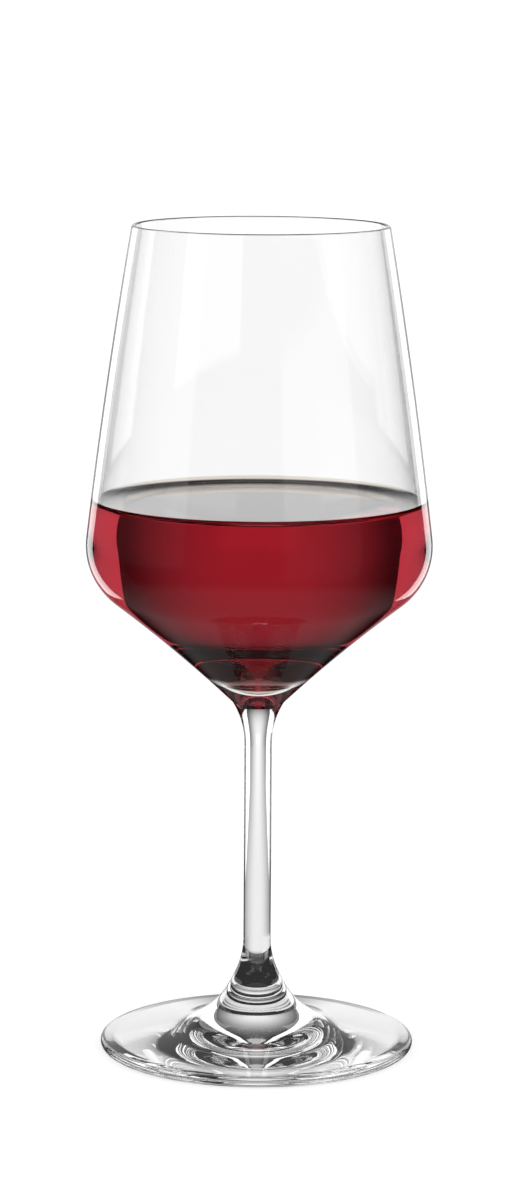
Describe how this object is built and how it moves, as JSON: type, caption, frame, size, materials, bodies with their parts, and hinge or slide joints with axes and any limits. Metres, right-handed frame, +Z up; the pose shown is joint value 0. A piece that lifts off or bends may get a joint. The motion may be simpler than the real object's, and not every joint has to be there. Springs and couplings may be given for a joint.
{
  "type": "wine glass",
  "caption": "Stemmed red wine glass with a wide shouldered bowl that tapers to the rim, a slim stem and a round foot, part filled with red wine.",
  "frame": {"origin": "point on the table under the stem's axis, at the middle of the foot's resting ring", "axes": "+Z up along the stem's axis, from the foot to the rim; the glass is round, so X and Y are free"},
  "size_m": [0.098, 0.098, 0.236],
  "materials": {
    "bowl_glass": "clear blown crystal glass, fire polished",
    "stem_glass": "clear drawn crystal glass, fire polished",
    "foot_glass": "clear pressed crystal glass, fire polished",
    "wine": "clear deep red liquid with a mirror-like surface"
  },
  "bodies": {
    "root": {"bowl": "bowl_glass", "stem": "stem_glass", "foot": "foot_glass", "red_wine": "wine"}
  },
  "joints": []
}
